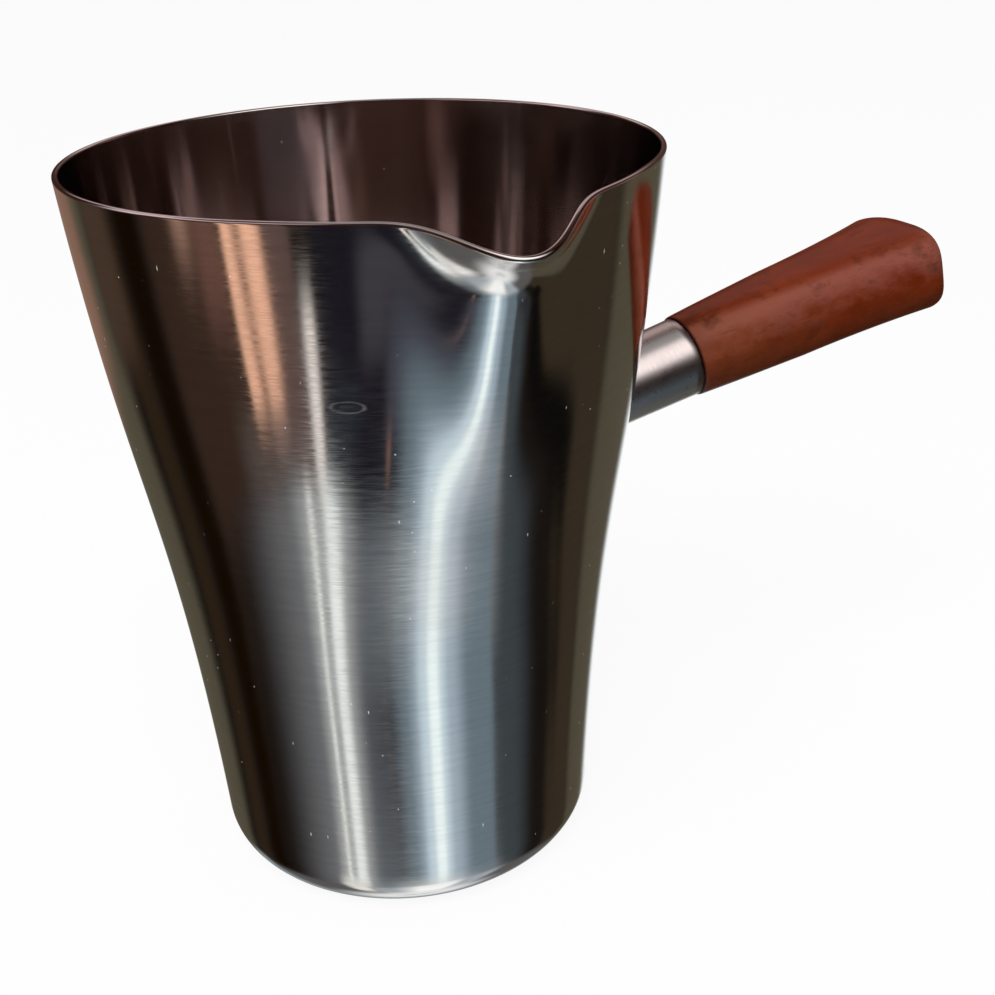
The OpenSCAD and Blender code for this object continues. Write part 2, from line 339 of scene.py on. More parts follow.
def make_socket(material):
    """The tube that carries the grip, with its foot cut to the cup's wall."""
    steps = 14
    angle = np.linspace(0, 2 * math.pi, SOCKET_SIDES, endpoint=False)
    foot = meeting(socket_radius, angle)
    bore_foot = meeting(lambda along: np.full_like(along, SOCKET_BORE_RADIUS), angle)
    rings = []
    for share in np.linspace(0, 1, steps):
        along = foot + (SOCKET_LENGTH - SOCKET_CHAMFER - foot) * share
        rings.append(around(socket_radius(along), angle, along))
    end = np.full_like(angle, SOCKET_LENGTH)
    rings.append(around(SOCKET_END_RADIUS - SOCKET_CHAMFER, angle, end))
    rings.append(around(SOCKET_BORE_RADIUS, angle, end))
    rings.append(around(SOCKET_BORE_RADIUS, angle, bore_foot))
    points, faces = closed_tube(rings)
    return make_piece("socket", points, faces, [material])


def make_braze(material):
    """The fillet round the socket's foot, with a hollowed face from the cup to the socket."""
    steps = 6
    slope_step = 1 * MM
    root_pull, leg_pull = 0.8, 0.1
    angle = np.linspace(0, 2 * math.pi, SOCKET_SIDES, endpoint=False)
    foot = meeting(socket_radius, angle)
    root = to_cup_frame(around(socket_radius(foot), angle, foot))
    away = unit(root - to_cup_frame(around(np.zeros_like(angle), angle, foot)))
    flat = np.hypot(root[:, 0], root[:, 1])
    change = wall_radius(root[:, 2] + slope_step) - wall_radius(root[:, 2] - slope_step)
    slope = change / (2 * slope_step)
    normal = unit(np.stack([root[:, 0] / flat, root[:, 1] / flat, -slope], -1))
    over_cup = unit(away - np.sum(away * normal, -1, keepdims=True) * normal)
    on_cup = root + BRAZE_LEG * over_cup
    along = foot + BRAZE_LEG
    on_socket = to_cup_frame(around(socket_radius(along), angle, along))
    hollow = root_pull * root + leg_pull * (on_cup + on_socket)
    rings = [root]
    for share in np.linspace(0, 1, steps):
        pull = 1 - share
        rings.append(pull**2 * on_cup + 2 * pull * share * hollow + share**2 * on_socket)
    points, faces = closed_tube(rings)
    return make_piece("braze", points, faces, [material])


def grip_section(along):
    """Half width, half height and squareness of the grip at a distance from the socket."""
    share = along / (GRIP_LENGTH - GRIP_END_DOME)
    width = GRIP_ROOT_RADIUS + (GRIP_END_HALF_WIDTH - GRIP_ROOT_RADIUS) * share**GRIP_FLARE_POWER
    height = GRIP_ROOT_RADIUS + (GRIP_END_HALF_HEIGHT - GRIP_ROOT_RADIUS) * share
    squared = min(1, share / GRIP_SQUARE_BY)
    return width, height, ROUND_SQUARENESS + (GRIP_SQUARENESS - ROUND_SQUARENESS) * squared


def grip_ring(along, width, height, squareness, sides=112):
    """One soft-cornered section of the grip, across the handle."""
    angle = np.linspace(0, 2 * math.pi, sides, endpoint=False)
    power = ROUND_SQUARENESS / squareness
    x = height * np.sign(np.cos(angle)) * np.abs(np.cos(angle)) ** power
    y = width * np.sign(np.sin(angle)) * np.abs(np.sin(angle)) ** power
    return np.stack([x, y, np.full(sides, along)], -1)


def make_grip(material):
    """The wooden grip: an eased edge at the socket, the flared length, and a low dome at the end."""
    straight = GRIP_LENGTH - GRIP_END_DOME
    edge_degrees = 75
    dome_stop = math.radians(80)
    edge_steps, straight_steps, dome_steps = 6, 60, 14
    cap_shares = (0.8, 0.55, 0.3)
    rings = []
    for a in np.radians(np.linspace(0, edge_degrees, edge_steps)):
        along = GRIP_EDGE * (1 - math.cos(a))
        width, height, square = grip_section(along)
        cut = GRIP_EDGE * (1 - math.sin(a))
        rings.append(grip_ring(along, width - cut, height - cut, square))
    for along in np.linspace(GRIP_EDGE, straight, straight_steps):
        rings.append(grip_ring(along, *grip_section(along)))
    width, height, square = grip_section(straight)
    for a in np.linspace(0, dome_stop, dome_steps)[1:]:
        along = straight + GRIP_END_DOME * math.sin(a) / math.sin(dome_stop)
        narrow = width * math.sqrt(math.cos(a))
        thin = height * (1 - GRIP_DOME_THINNING * (1 - math.cos(a)))
        rings.append(grip_ring(along, narrow, thin, square))
    end = rings[-1]
    rings += [end * np.array([share, share, 1]) for share in cap_shares]
    points, faces = capped_loft(rings, [0, 0, 0], [0, 0, GRIP_LENGTH])
    points = to_cup_frame(points + [0, 0, SOCKET_LENGTH])
    return make_piece("grip_wood", points, faces, [material])


# Materials


def rgb(red, green, blue):
    """A colour from display values of 0 to 255."""
    def linear(v):
        v /= 255
        return v / 12.92 if v <= 0.04045 else ((v + 0.055) / 1.055) ** 2.4
    return (linear(red), linear(green), linear(blue), 1)


class Graph:
    """A node tree with short calls for the nodes that the materials use."""

    def __init__(self, tree):
        self.tree = tree
        tree.nodes.clear()

    def add(self, kind, inputs=None, **settings):
        """A new node, with its settings, and a value or a link for each named input."""
        node = self.tree.nodes.new(kind)
        for name, value in settings.items():
            setattr(node, name, value)
        for name, value in (inputs or {}).items():
            self.put(node.inputs[name], value)
        return node

    def put(self, socket, value):
        """Link an input to another node's output, or set it to a plain value."""
        if isinstance(value, bpy.types.NodeSocket):
            self.tree.links.new(value, socket)
        else:
            socket.default_value = value

    def place(self, scale=(1, 1, 1), turn=(0, 0, 0), source=None):
        """The piece's own coordinates in metres, or the given ones, scaled and then turned."""
        if source is None:
            source = self.add("ShaderNodeTexCoord").outputs["Object"]
        mapping = self.add("ShaderNodeMapping", {"Vector": source, "Rotation": turn, "Scale": scale})
        return mapping.outputs["Vector"]

    def along_handle(self):
        """Coordinates in the handle's own frame, for a piece that lies in the cup's frame."""
        source = self.add("ShaderNodeTexCoord").outputs["Object"]
        turn = (0, math.pi / 2 - HANDLE_TILT, 0)
        inputs = {"Vector": source, "Location": HANDLE_FOOT, "Rotation": turn}
        return self.add("ShaderNodeMapping", inputs, vector_type="TEXTURE").outputs["Vector"]

    def noise(self, vector, detail=3.0, roughness=0.5, distortion=0.0):
        """Cloudy values round 0.5. The vector sets their size."""
        inputs = {"Vector": vector, "Scale": 1.0, "Detail": detail}
        inputs.update({"Roughness": roughness, "Distortion": distortion})
        return self.add("ShaderNodeTexNoise", inputs).outputs["Fac"]

    def spots(self, vector, size, share):
        """1 inside a few scattered spots: size is in cells, and share is how many cells have one."""
        cells = self.add("ShaderNodeTexVoronoi", {"Vector": vector, "Scale": 1.0})
        core = 0.4 * size
        spot = self.range(cells.outputs["Distance"], size, core)
        chosen = self.math("LESS_THAN", self.split(cells.outputs["Color"], "Red"), share)
        return self.math("MULTIPLY", spot, chosen)

    def ring(self, centre, half_width, half_height, line):
        """1 on an oval line round a point of the wall, with the line's width as a share of the oval."""
        reach_into_wall = 10 * MM
        source = self.add("ShaderNodeTexCoord").outputs["Object"]
        turn = (0, 0, math.atan2(centre[1], centre[0]))
        inputs = {"Vector": source, "Location": centre, "Rotation": turn}
        inputs["Scale"] = (reach_into_wall, half_width, half_height)
        local = self.add("ShaderNodeMapping", inputs, vector_type="TEXTURE").outputs["Vector"]
        length = self.add("ShaderNodeVectorMath", operation="LENGTH")
        self.put(length.inputs[0], local)
        off_line = self.math("ABSOLUTE", self.math("SUBTRACT", length.outputs["Value"], 1.0))
        return self.range(off_line, 0, line, 1, 0)

    def split(self, colour, channel):
        return self.add("ShaderNodeSeparateColor", {"Color": colour}).outputs[channel]

    def range(self, value, low, high, to_low=0.0, to_high=1.0):
        """A value mapped from one span to another, and held at the ends."""
        node = self.add("ShaderNodeMapRange")
        for socket, given in zip(node.inputs, (value, low, high, to_low, to_high)):
            self.put(socket, given)
        return node.outputs["Result"]

    def math(self, operation, a, b=0.0):
        node = self.add("ShaderNodeMath", operation=operation)
        self.put(node.inputs[0], a)
        self.put(node.inputs[1], b)
        return node.outputs["Value"]

    def mix(self, share, a, b):
        """A blend of two colours. The node has sockets with the same name, so they go by number."""
        factor, first, second, result = 0, 6, 7, 2
        node = self.add("ShaderNodeMix", data_type="RGBA")
        for index, given in ((factor, share), (first, a), (second, b)):
            self.put(node.inputs[index], given)
        return node.outputs[result]

    def lean(self, *steps):
        """The surface's normal, leaned along each given direction by its amount in radians."""
        normal = self.add("ShaderNodeNewGeometry").outputs["Normal"]
        for direction, amount in steps:
            inputs = {"Vector": direction, "Scale": amount}
            shift = self.add("ShaderNodeVectorMath", inputs, operation="SCALE")
            total = self.add("ShaderNodeVectorMath", operation="ADD")
            self.put(total.inputs[0], normal)
            self.put(total.inputs[1], shift.outputs["Vector"])
            normal = total.outputs["Vector"]
        leaned = self.add("ShaderNodeVectorMath", operation="NORMALIZE")
        self.put(leaned.inputs[0], normal)
        return leaned.outputs["Vector"]

    def bump(self, height, strength, distance, normal=None):
        inputs = {"Height": height, "Strength": strength, "Distance": distance}
        if normal is not None:
            inputs["Normal"] = normal
        return self.add("ShaderNodeBump", inputs).outputs["Normal"]


def new_material(name):
    """A material, its node graph and its one surface shader."""
    material = bpy.data.materials.new(name)
    material.use_nodes = True
    graph = Graph(material.node_tree)
    surface = graph.add("ShaderNodeBsdfPrincipled")
    output = graph.add("ShaderNodeOutputMaterial")
    graph.put(output.inputs["Surface"], surface.outputs["BSDF"])
    return material, graph, surface


def shaded(colour, share):
    """A colour with its brightness taken down to a share."""
    return [share * c for c in colour[:3]] + [1]


# The middle of a noise's values, where most of its change is
MIDDLE = (0.35, 0.65)
WIDE = (0.3, 0.7)

# Steel: colours, and textures in features to a metre, across, across and up
STEEL_TONE = rgb(204, 200, 196)
INSIDE_TONE = rgb(200, 192, 188)
HIDDEN_TONE = rgb(180, 180, 178)
# Real nicks and scratches, painted near white as bright glints
SCUFF_GLINT_TONE = rgb(244, 244, 242)
FINE_LINES = (420, 420, 6000)
GROOVES = (160, 160, 2800)
BROAD_LINES = (70, 70, 1500)
STEEL_BLOTCHES = (60, 60, 60)
WORN_PATCHES = (30, 30, 30)
NICK_CELLS = (520, 520, 520)
NICK_SIZE = 0.07
SCRATCH_CELLS = (900, 900, 170)
SCRATCH_TURN = (0.7, 0.5, 0)
SCRATCH_SIZE = 0.08
SCRATCHES_PER_NICK = 0.2
QUARTER_TURN = 0.25

# One faint oval scratch on the wall, painted as a bright glint: its centre, half width, half height and line
RING_MARK = ((-16.3 * MM, -34.8 * MM, 83.1 * MM), 2.0 * MM, 0.72 * MM, 0.2)

# The cup's wall is brushed most in a band at its middle
WORN_TOP = 90 * MM
WORN_FOOT = 35 * MM
WORN_FADE = 18 * MM


def brushed_steel(name, tone, smooth, rough, stretch, line_lean, line_depth, scuff_share, ring=None):
    """Steel brushed round the vertical axis, with level lines that each lean their own way, and real nicks
    and scratches painted near white as bright glints.

    Roughness runs from smooth to rough. Stretch is how far highlights run across the lines. Lines lean in
    radians and are raised in metres, and the scuff share is how many cells of the texture have a nick.
    """
    material, graph, surface = new_material(name)
    lines = graph.noise(graph.place(FINE_LINES), detail=2, roughness=0.6)
    grooves = graph.noise(graph.place(GROOVES), detail=2, roughness=0.6)
    broad = graph.noise(graph.place(BROAD_LINES), detail=3, roughness=0.6)
    blotch = graph.noise(graph.place(STEEL_BLOTCHES), detail=4, roughness=0.6)
    colour = graph.mix(graph.range(broad, *MIDDLE), shaded(tone, 0.94), tone)
    roughness = graph.range(lines, *MIDDLE, smooth, rough)
    roughness = graph.math("ADD", roughness, graph.range(blotch, 0.35, 0.75, -0.01, 0.03))
    nicks = graph.spots(graph.place(NICK_CELLS), NICK_SIZE, scuff_share)
    nicks = graph.math("MULTIPLY", nicks, graph.range(blotch, 0.42, 0.52))
    scratch_share = SCRATCHES_PER_NICK * scuff_share
    scratches = graph.spots(graph.place(SCRATCH_CELLS, SCRATCH_TURN), SCRATCH_SIZE, scratch_share)
    scuffs_and_glints = graph.math("MAXIMUM", nicks, scratches)
    if ring is not None:
        faint = graph.math("MULTIPLY", graph.ring(*ring), graph.range(lines, *WIDE, 0.03, 0.3))
        scuffs_and_glints = graph.math("MAXIMUM", scuffs_and_glints, faint)
    tangent = graph.add("ShaderNodeTangent", direction_type="RADIAL", axis="Z").outputs["Tangent"]
    patches = graph.noise(graph.place(WORN_PATCHES), detail=2)
    wear = graph.range(patches, *MIDDLE, 0.35, 1)
    height = graph.split(graph.place(), "Blue")
    wear = graph.math("MULTIPLY", wear, graph.range(height, WORN_TOP, WORN_TOP - WORN_FADE, 0.3, 1))
    wear = graph.math("MULTIPLY", wear, graph.range(height, WORN_FOOT, WORN_FOOT + WORN_FADE, 0.4, 1))
    turned = graph.math("MULTIPLY", graph.range(lines, *WIDE, -line_lean, line_lean), wear)
    groove_lean = 2 * line_lean
    tipped = graph.math("MULTIPLY", graph.range(grooves, *WIDE, -groove_lean, groove_lean), wear)
    normal = graph.lean((tangent, turned), ((0, 0, 1), tipped))
    # Painted glints: nicks, scratches and the oval mark turn near white and partly unmetallic
    graph.put(surface.inputs["Base Color"], graph.mix(scuffs_and_glints, colour, SCUFF_GLINT_TONE))
    graph.put(surface.inputs["Roughness"], roughness)
    graph.put(surface.inputs["Metallic"], graph.range(scuffs_and_glints, 0, 1, 1.0, 0.3))
    graph.put(surface.inputs["Anisotropic"], stretch)
    graph.put(surface.inputs["Anisotropic Rotation"], QUARTER_TURN)
    graph.put(surface.inputs["Tangent"], tangent)
    graph.put(surface.inputs["Normal"], graph.bump(broad, 1.0, line_depth, normal))
    return material


# Satin steel: textures in features to a metre, and how far its roughness spreads
SATIN_GRAIN = (700, 700, 2200)
SATIN_BLOTCHES = (250, 250, 250)
SATIN_SPREAD = 0.03


def satin_steel(name, tone, roughness):
    """Steel with a fine, even grain."""
    material, graph, surface = new_material(name)
    grain = graph.noise(graph.place(SATIN_GRAIN), detail=2)
    blotch = graph.noise(graph.place(SATIN_BLOTCHES), detail=3)
    graph.put(surface.inputs["Base Color"], graph.mix(blotch, shaded(tone, 0.92), tone))
    graph.put(surface.inputs["Metallic"], 1.0)
    spread = (roughness - SATIN_SPREAD, roughness + SATIN_SPREAD)
    graph.put(surface.inputs["Roughness"], graph.range(grain, *WIDE, *spread))
    return material


# Wood: colours, and textures in features to a metre, across, across and along the grip
WOOD_DEEP = rgb(95, 28, 4)
WOOD_WARM = rgb(111, 40, 9)
WOOD_GRAIN = rgb(86, 31, 8)
# Painted sheen, lighter and pinker, on the flanks below the top face
WOOD_SHEEN = rgb(146, 88, 76)
# Painted sheen on the flanks next to the socket
WOOD_SOCKET_SHEEN = rgb(136, 86, 56)
# Painted shade, darker towards the underside
WOOD_UNDERSIDE_SHADE = rgb(58, 25, 7)
WOOD_STAIN = rgb(62, 23, 6)
WOOD_PORE = rgb(52, 18, 8)
# Painted shade in the thin gap where the grip meets the socket
WOOD_JOINT_SHADE = rgb(30, 11, 9)
GRAIN_LINES = (420, 420, 22)
PORE_DASHES = (2400, 2400, 160)
WOOD_CLOUDS = (130, 130, 90)
WOOD_STAINS = (250, 250, 190)

# Where the wood changes, with its painted sheen and shade: heights over the handle's axis, lengths from the
# socket, and depth of relief
SHEEN_FROM = 0 * MM
SHEEN_TO = 4 * MM
TOP_FROM = 5.6 * MM
TOP_TO = 6.4 * MM
UNDERSIDE_SHADE_FROM = 1 * MM
UNDERSIDE_SHADE_TO = -5 * MM
RAGGED_BY = 2 * MM
SOCKET_SHEEN_LENGTH = 25 * MM
JOINT_SHADE_FROM = 0.1 * MM
JOINT_SHADE_TO = 0.4 * MM
WOOD_RELIEF = 3e-5


def grip_wood():
    """Oiled red-brown hardwood: grain along the handle, stains, painted sheen on the flanks, painted shade
    below and at the socket.
    """
    material, graph, surface = new_material("grip_wood")
    place = graph.along_handle()
    up = graph.math("MULTIPLY", graph.split(place, "Red"), -1.0)
    along = graph.split(place, "Blue")
    grain = graph.place(GRAIN_LINES, source=place)
    grain = graph.noise(grain, detail=4, roughness=0.6, distortion=0.5)
    pores = graph.noise(graph.place(PORE_DASHES, source=place), detail=2)
    cloud = graph.noise(graph.place(WOOD_CLOUDS, source=place), detail=4, roughness=0.6)
    stain = graph.noise(graph.place(WOOD_STAINS, source=place), detail=4, roughness=0.6)
    colour = graph.mix(graph.range(cloud, *MIDDLE), WOOD_DEEP, WOOD_WARM)
    colour = graph.mix(graph.range(grain, 0.45, 0.75, 0, 0.3), colour, WOOD_GRAIN)
    ragged = graph.math("ADD", up, graph.range(stain, *WIDE, -RAGGED_BY, RAGGED_BY))
    flank = graph.range(up, TOP_FROM, TOP_TO, 0.5, 0)
    # Painted sheen on the flanks below the top face, with a ragged edge
    painted_sheen = graph.math("MULTIPLY", graph.range(ragged, SHEEN_FROM, SHEEN_TO), flank)
    colour = graph.mix(painted_sheen, colour, WOOD_SHEEN)
    # Painted sheen on the flanks, fading out along the grip from the socket
    socket_sheen = graph.range(along, SOCKET_LENGTH, SOCKET_LENGTH + SOCKET_SHEEN_LENGTH, 0.45, 0)
    colour = graph.mix(graph.math("MULTIPLY", socket_sheen, flank), colour, WOOD_SOCKET_SHEEN)
    # Painted shade: the grip darkens towards its underside
    underside = graph.range(ragged, UNDERSIDE_SHADE_FROM, UNDERSIDE_SHADE_TO, 0, 0.75)
    colour = graph.mix(underside, colour, WOOD_UNDERSIDE_SHADE)
    colour = graph.mix(graph.range(stain, 0.55, 0.7, 0, 0.65), colour, WOOD_STAIN)
    colour = graph.mix(graph.range(pores, 0.62, 0.72, 0, 0.3), colour, WOOD_PORE)
    # Painted shade in the gap at the socket
    joint_shade = graph.range(along, SOCKET_LENGTH + JOINT_SHADE_FROM, SOCKET_LENGTH + JOINT_SHADE_TO, 1, 0)
    colour = graph.mix(joint_shade, colour, WOOD_JOINT_SHADE)
    graph.put(surface.inputs["Base Color"], colour)
    graph.put(surface.inputs["Roughness"], graph.range(cloud, *WIDE, 0.22, 0.32))
    graph.put(surface.inputs["Specular IOR Level"], 0.08)
    swells = graph.math("MULTIPLY", cloud, 3.0)
    height = graph.math("SUBTRACT", swells, graph.math("MULTIPLY", pores, 0.25))
    graph.put(surface.inputs["Normal"], graph.bump(height, 1.0, WOOD_RELIEF))
    return material


# Studio: floor, sky and lamp, in metres and watts, with strengths where 1 is white

FLOOR_HALF = 2.0
FLOOR_TONE = (0.85, 0.85, 0.85, 1)
FLOOR_LIFT = 0.92
SKY_LIGHT = 0.55
SKY_SEEN = 0.96
WHITE = (1, 1, 1, 1)
KEY_PLACE = (-0.25, -0.35, 0.75)
KEY_AIM = (0.02, 0, 0.05)
KEY_SIZE = 0.5
KEY_POWER = 5

# The sphere that carries what the steel reflects
ROOM_RADIUS = 3.0
ROOM_COLUMNS = 720
ROOM_ROWS = 180
ROOM_STEEPEST = 89.5


def make_camera():
    """The camera, from its place, heading, pitch and roll."""
    heading = Vector((math.cos(CAMERA_HEADING), math.sin(CAMERA_HEADING), 0))
    forward = heading * math.cos(CAMERA_PITCH) - Vector((0, 0, math.sin(CAMERA_PITCH)))
    right = forward.cross(Vector((0, 0, 1))).normalized()
    up = right.cross(forward)
    right, up = (
        right * math.cos(CAMERA_ROLL) - up * math.sin(CAMERA_ROLL),
        right * math.sin(CAMERA_ROLL) + up * math.cos(CAMERA_ROLL),
    )
    data = bpy.data.cameras.new("camera")
    data.sensor_width = SENSOR_WIDTH
    data.lens = CAMERA_LENS
    data.clip_start = CAMERA_CLIP
    camera = bpy.data.objects.new("camera", data)
    axes = Matrix((right, up, -forward)).transposed().to_4x4()
    camera.matrix_world = Matrix.Translation(CAMERA_PLACE) @ axes
    bpy.context.scene.collection.objects.link(camera)
    bpy.context.scene.camera = camera


def rise(value, middle, soft):
    """From 0 to 1, smoothly, over a soft margin on both sides of the middle."""
    share = np.clip((value - middle) / (2 * soft) + 0.5, 0, 1)
    return share * share * (3 - 2 * share)


def card(left, right, soft, colour, low=-90, high=90, ease=2):
    """A panel of the room: the bearings of its edges, how soft each is, its colour, and its heights."""
    return left, right, soft, colour, low, high, ease


# What the steel reflects: a dim room with windows, over a table. Bearings and heights are in degrees, seen
# from the jug, and colours are display values, as the steel shows them, where over 255 is brighter than
# white. Later cards hide earlier ones.
WALLS = {
    "dark_wall": card(-180, 180, (1, 1), (24, 20, 17)),
    "olive_wall": card(11, 124, (4, 6), (73, 69, 57)),
    "olive_dim": card(-13, 10, (4, 4), (51, 44, 34)),
    "olive_shade": card(132, 144, (3, 4), (41, 31, 21)),
    "upper_shade": card(124, 141, (4, 4), (65, 51, 41), low=-22.5),
    "warm_wall": card(70, 114, (10, 6), (115, 89, 76), low=-20, ease=3),
    "black_door": card(147, 159, (3, 4), (18, 9, 3)),
    "dim_corner": card(297, 328, (6, 9), (58, 65, 70)),
    "dark_corner": card(300, 330, (5, 6), (42, 41, 46), low=-38),
    "black_corner": card(338, 354, (5, 3), (12, 11, 10), low=-39, high=-31),
    "back_window": card(44, 62, (8, 8), (205, 210, 212), high=-8),
    "back_glow": card(74, 86, (6, 6), (140, 142, 140), high=-8),
    "floor_beyond": card(50, 125, (10, 12), (128, 136, 142), high=-45, ease=3),
}

# Cards on the table itself
ON_TABLE = {
    "table_top": card(187, 310, (24, 6), (109, 113, 118)),
    "left_glow": card(203, 224, (4, 4), (150, 156, 158)),
    "left_line": card(206.8, 208.8, (1, 1), (232, 238, 236)),
    "left_gleam": card(213, 219, (1.5, 2.5), (232, 240, 242)),
    "table_shade": card(229, 246, (4, 6), (92, 100, 107)),
    "left_sheet": card(200, 219, (4, 3), (232, 233, 231), high=-47, ease=1.5),
}

# Cards that stop at the table's edge
ABOVE_TABLE = {
    "brown_wall": card(161, 194, (4, 2), (51, 38, 31)),
    "upper_peach": card(176, 183, (4, 4), (152, 120, 105), low=-20, ease=2.5),
    "upper_tan": card(184, 194, (3, 2), (98, 70, 62), low=-25, ease=2.5),
    "grey_wall": card(186, 206, (6, 2), (76, 67, 63), high=-32),
    "peach_curtain": card(196, 205, (1, 1), (236, 184, 156), low=-32.2, ease=1),
    "curtain_fold": card(199.6, 201.2, (0.6, 0.6), (84, 60, 48), low=-32.2, ease=1),
    "peach_foot": card(200.5, 205.5, (1, 1), (122, 102, 98), low=-35, high=-33, ease=1),
    "dim_gap": card(205.5, 211.5, (0.8, 1), (86, 69, 66)),
    "left_window": card(212.2, 215.2, (1.1, 0.8), (232, 226, 222), high=-25.5, ease=3),
    "dark_front": card(217, 250, (1, 6), (24, 23, 30)),
    "low_front": card(216.5, 228, (1.5, 3), (32, 36, 44), low=-38.5, high=-33.5),
    "grey_front": card(239.5, 252, (2.5, 4), (59, 60, 70), low=-39.5),
    "grey_upper": card(230, 240, (3, 3), (60, 58, 66), low=-32),
    "amber_slit": card(239.8, 241.2, (0.8, 0.8), (150, 116, 98), low=-42.3, high=-39.5, ease=1),
}

# The window on the right, which is seen over the table and in it
RIGHT_WINDOW = {
    "window_glow": card(247, 305.5, (6, 2.5), (99, 115, 126), high=-30, ease=5),
    "window_shoulder": card(256, 285, (5, 6), (152, 170, 185), high=-30, ease=5),
    "window_pane": card(260, 276, (3, 3), (190, 210, 222), high=-30, ease=5),
    "window_core": card(265.5, 272, (2, 2), (236, 252, 255), high=-30, ease=5),
}

# The floor close to the jug, which only the lip and the foot show
NEAR_FLOOR = {
    "grey_floor": card(-180, 180, (1, 1), (86, 86, 86)),
    "left_floor": card(200, 217, (5, 5), (232, 233, 231), low=-65, ease=8),
    "middle_floor": card(217, 245, (4, 7), (155, 165, 173)),
    "bright_floor": card(243, 289, (13, 14), (246, 251, 253)),
    "right_floor": card(287, 316, (6, 8), (158, 170, 180)),
    "far_floor": card(45, 120, (12, 16), (128, 135, 141)),
    "floor_under": card(-180, 180, (1, 1), (226, 230, 233), high=-74, ease=9),
}

# Cards above the jug, seen by its rim, inside, socket and grip
OVERHEAD = {
    "brown_room": card(-180, 180, (1, 1), (48, 30, 25)),
    "brown_right": card(262, 346, (10, 6), (24, 11, 6)),
    "pale_corner": card(3, 17, (6, 6), (112, 88, 84), high=13.5, ease=1.5),
    "black_right": card(335, 357, (8, 3), (12, 5, 3), low=12.5, high=19, ease=1.5),
    "tan_corner": card(22, 66, (5, 5), (64, 46, 41)),
    "blue_corner": card(132, 156, (5, 4), (66, 60, 64)),
    "far_ceiling": card(58, 80, (6, 6), (92, 71, 63), low=12, ease=4),
    "pale_right": card(34, 74, (4, 8), (165, 144, 145), low=23, high=52, ease=3),
    "pale_left": card(136, 160, (4, 4), (225, 203, 207), low=19.5, high=52, ease=6),
    "pale_far": card(158, 215, (4, 10), (190, 170, 172), low=27, high=52, ease=3),
    "pale_back": card(84, 133, (6, 4), (170, 152, 154), low=36, high=52, ease=3),
    "pale_slit": card(72, 99, (5, 4), (190, 170, 172), low=22, high=52, ease=3),
    "zenith": card(-180, 180, (1, 1), (150, 150, 152), low=71, ease=8),
    "lamp_glow": card(268, 324, (14, 14), (120, 113, 115), low=18, ease=6),
    "lamp": card(270, 322, (14, 14), (278, 266, 267), low=29, high=74, ease=9),
}
CEILING_HEIGHT = -6
CEILING_EASE = 5
NEAR_FLOOR_HEIGHT = -51
NEAR_FLOOR_EASE = 4.5
TABLE_EASE = 1.8
STEEL_REFLECTS = 0.6

# Height of the table's far edge, which falls away to the right
EDGE_BEARINGS = (205, 222, 230, 245)
EDGE_HEIGHTS = (-37.8, -41.2, -44, -45.5)


def paint(glow, cards, bearing, height, share):
    """Glow with cards painted over it. A card's colour is divided by what the steel takes away."""
    for left, right, soft, colour, low, high, ease in cards.values():
        middle = (left + right) / 2
        turn = (bearing - middle + 180) % 360 - 180 + middle
        across = rise(turn, left, soft[0]) * (1 - rise(turn, right, soft[1]))
        upright = rise(height, low, ease) * (1 - rise(height, high, ease))
        wanted = np.array(rgb(*colour)[:3]) / STEEL_REFLECTS
        glow = glow + (share * across * upright)[:, None] * (wanted - glow)
    return glow


def room_glow(bearing, height):
    """The light that comes from each direction of the room."""
    everywhere = np.ones_like(bearing)
    edge = np.interp(bearing, EDGE_BEARINGS, EDGE_HEIGHTS)
    over_edge = rise(height - edge, 0, TABLE_EASE)
    overhead = rise(height, CEILING_HEIGHT, CEILING_EASE)
    underfoot = 1 - rise(height, NEAR_FLOOR_HEIGHT, NEAR_FLOOR_EASE)
    glow = np.zeros((len(bearing), 3))
    layers = (
        (WALLS, everywhere),
        (ON_TABLE, 1 - over_edge),
        (ABOVE_TABLE, over_edge),
        (RIGHT_WINDOW, 1 - overhead),
        (NEAR_FLOOR, underfoot),
        (OVERHEAD, overhead),
    )
    for cards, share in layers:
        glow = paint(glow, cards, bearing, height, share)
    return glow


def make_room():
    """A large sphere of reflected room. Only mirror-like rays see it, so it lights nothing else."""
    heights = np.linspace(-ROOM_STEEPEST, ROOM_STEEPEST, ROOM_ROWS)
    bearings = np.linspace(0, 360, ROOM_COLUMNS, endpoint=False)
    bearing, height = (g.ravel() for g in np.meshgrid(bearings, heights))
    flat = np.cos(np.radians(height))
    points = ROOM_RADIUS * np.stack([
        flat * np.cos(np.radians(bearing)),
        flat * np.sin(np.radians(bearing)),
        np.sin(np.radians(height)),
    ], -1)
    faces = []
    for i in range(ROOM_ROWS - 1):
        faces += ring_faces(i * ROOM_COLUMNS, (i + 1) * ROOM_COLUMNS, ROOM_COLUMNS)
    material = bpy.data.materials.new("room")
    material.use_nodes = True
    material.cycles.emission_sampling = "NONE"
    graph = Graph(material.node_tree)
    colour = graph.add("ShaderNodeAttribute", attribute_name="glow").outputs["Color"]
    light = graph.add("ShaderNodeEmission", {"Color": colour, "Strength": 1.0})
    graph.put(graph.add("ShaderNodeOutputMaterial").inputs["Surface"], light.outputs["Emission"])
    room = make_piece("room", points, faces, [material])
    glow = room.data.color_attributes.new("glow", "FLOAT_COLOR", "POINT")
    values = np.concatenate([room_glow(bearing, height), np.ones((len(points), 1))], -1)
    glow.data.foreach_set("color", values.astype(np.float32).ravel())
    room.visible_camera = False
    room.visible_diffuse = False
    room.visible_transmission = False
    room.visible_shadow = False


def seen_by_eye(graph):
    """1 for rays that the camera sees directly, or in metal or glass, and 0 for rays that light a surface."""
    rays = graph.add("ShaderNodeLightPath").outputs
    mirrored = graph.math("MAXIMUM", rays["Is Glossy Ray"], rays["Is Transmission Ray"])
    return graph.math("MAXIMUM", rays["Is Camera Ray"], mirrored)


